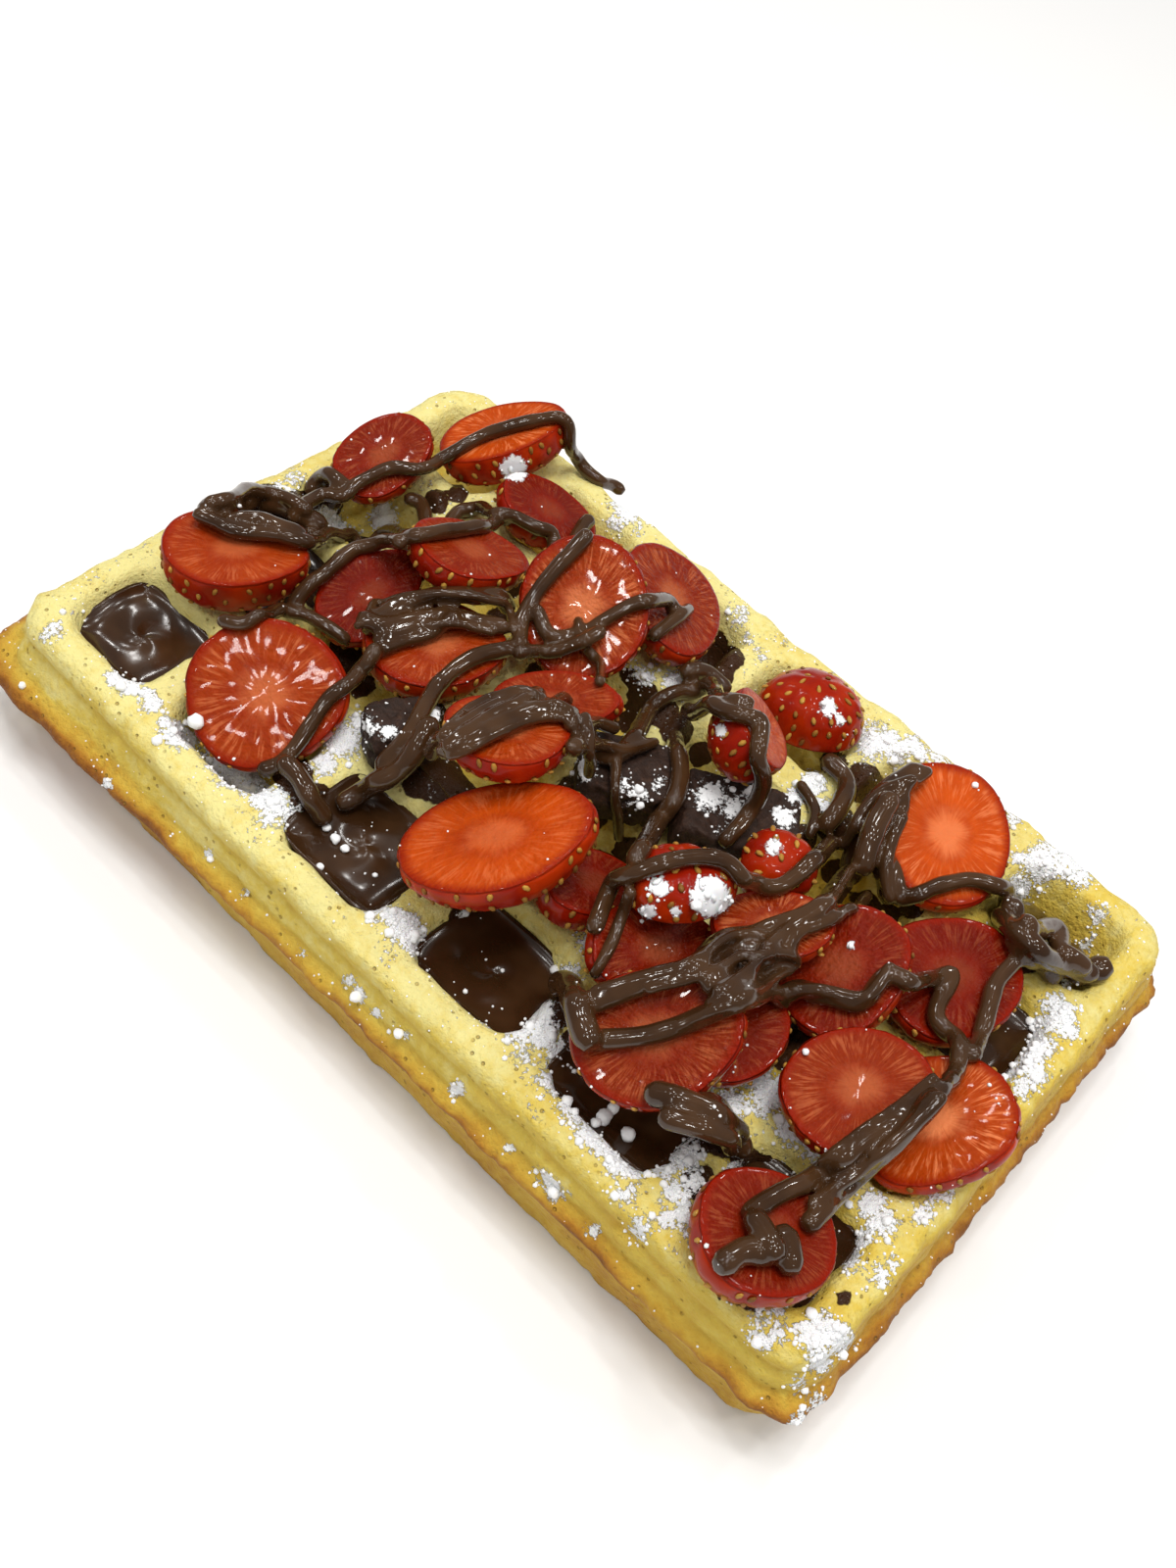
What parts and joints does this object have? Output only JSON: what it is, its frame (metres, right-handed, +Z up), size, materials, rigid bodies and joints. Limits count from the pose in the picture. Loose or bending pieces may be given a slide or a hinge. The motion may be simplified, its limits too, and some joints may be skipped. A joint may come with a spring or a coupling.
{
  "type": "waffle",
  "caption": "Thick rectangular waffle with deep square pockets, topped with cut strawberries, pieces of dark cake, pools of chocolate and ropes of chocolate drizzle.",
  "frame": {"origin": "on the plane the waffle stands on, under the middle of the whole part's box", "axes": "+X along the waffle's long side, +Y across it, +Z up from the underside to the toppings"},
  "size_m": [0.1736, 0.106, 0.0543],
  "materials": {
    "baked_waffle": "matte baked crust, pale yellow with a golden seam",
    "strawberry": "wet red fruit with paler cut faces",
    "chocolate": "glossy chocolate sauce",
    "dark_cake": "matte open crumb"
  },
  "bodies": {
    "root": {"cake_1": "dark_cake", "cake_2": "dark_cake", "cake_3": "dark_cake", "chocolate_pool_1": "chocolate", "chocolate_pool_2": "chocolate", "chocolate_pool_3": "chocolate", "chocolate_pool_4": "chocolate", "chocolate_pool_5": "chocolate", "chocolate_pool_6": "chocolate", "chocolate_pool_7": "chocolate", "chocolate_pool_8": "chocolate", "drizzle_01": "chocolate", "drizzle_02": "chocolate", "drizzle_03": "chocolate", "drizzle_04": "chocolate", "drizzle_05": "chocolate", "drizzle_06": "chocolate", "drizzle_07": "chocolate", "drizzle_08": "chocolate", "drizzle_09": "chocolate", "drizzle_10": "chocolate", "drizzle_11": "chocolate", "drizzle_12": "chocolate", "drizzle_13": "chocolate", "strawberry_01": "strawberry", "strawberry_02": "strawberry", "strawberry_03": "strawberry", "strawberry_04": "strawberry", "strawberry_05": "strawberry", "strawberry_06": "strawberry", "strawberry_07": "strawberry", "strawberry_08": "strawberry", "strawberry_09": "strawberry", "strawberry_10": "strawberry", "strawberry_11": "strawberry", "strawberry_12": "strawberry", "strawberry_13": "strawberry", "strawberry_14": "strawberry", "strawberry_15": "strawberry", "strawberry_16": "strawberry", "strawberry_17": "strawberry", "strawberry_18": "strawberry", "strawberry_19": "strawberry", "strawberry_20": "strawberry", "strawberry_21": "strawberry", "strawberry_22": "strawberry", "strawberry_23": "strawberry", "strawberry_24": "strawberry", "strawberry_25": "strawberry", "strawberry_26": "strawberry", "strawberry_27": "strawberry", "strawberry_28": "strawberry", "waffle": "baked_waffle"}
  },
  "joints": []
}
